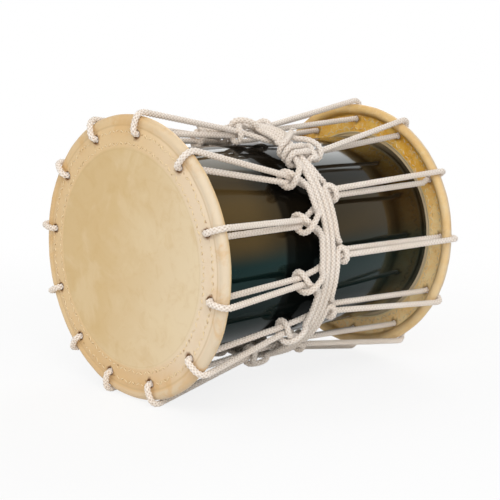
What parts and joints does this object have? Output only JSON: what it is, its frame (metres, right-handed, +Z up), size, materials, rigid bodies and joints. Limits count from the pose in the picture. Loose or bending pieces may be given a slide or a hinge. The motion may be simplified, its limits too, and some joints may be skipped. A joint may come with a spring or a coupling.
{
  "type": "rope-laced taiko drum",
  "caption": "Two-headed drum lying on its side: lacquered stave body, wide hide heads lapped round iron rings, laced with rope in pairs and bound at the waist by a hitched cord.",
  "frame": {"origin": "on the floor, under the middle of the drum as it lies on its side", "axes": "+Y along the drum's axis towards the rear head, -Y out of the front head, +Z up"},
  "size_m": [0.3668, 0.4368, 0.3668],
  "materials": {
    "lacquered_wood": "black urushi-type lacquer, high gloss",
    "rawhide": "bare stretched rawhide, satin, amber where it is lapped",
    "iron": "plain forged rod, hidden in the hide's hem",
    "cotton_rope": "undyed plaited cotton, matt"
  },
  "bodies": {
    "root": {"body_stave_01": "lacquered_wood", "body_stave_02": "lacquered_wood", "body_stave_03": "lacquered_wood", "body_stave_04": "lacquered_wood", "body_stave_05": "lacquered_wood", "body_stave_06": "lacquered_wood", "body_stave_07": "lacquered_wood", "body_stave_08": "lacquered_wood", "body_stave_09": "lacquered_wood", "body_stave_10": "lacquered_wood", "body_stave_11": "lacquered_wood", "body_stave_12": "lacquered_wood", "front_head_hide": "rawhide", "rear_head_hide": "rawhide", "front_head_ring": "iron", "rear_head_ring": "iron", "lacing_front_01": "cotton_rope", "lacing_front_02": "cotton_rope", "lacing_front_03": "cotton_rope", "lacing_front_04": "cotton_rope", "lacing_front_05": "cotton_rope", "lacing_front_06": "cotton_rope", "lacing_front_07": "cotton_rope", "lacing_front_08": "cotton_rope", "lacing_front_09": "cotton_rope", "lacing_front_10": "cotton_rope", "lacing_front_11": "cotton_rope", "lacing_front_12": "cotton_rope", "lacing_rear_01": "cotton_rope", "lacing_rear_02": "cotton_rope", "lacing_rear_03": "cotton_rope", "lacing_rear_04": "cotton_rope", "lacing_rear_05": "cotton_rope", "lacing_rear_06": "cotton_rope", "lacing_rear_07": "cotton_rope", "lacing_rear_08": "cotton_rope", "lacing_rear_09": "cotton_rope", "lacing_rear_10": "cotton_rope", "lacing_rear_11": "cotton_rope", "lacing_rear_12": "cotton_rope", "waist_cord": "cotton_rope"}
  },
  "joints": []
}
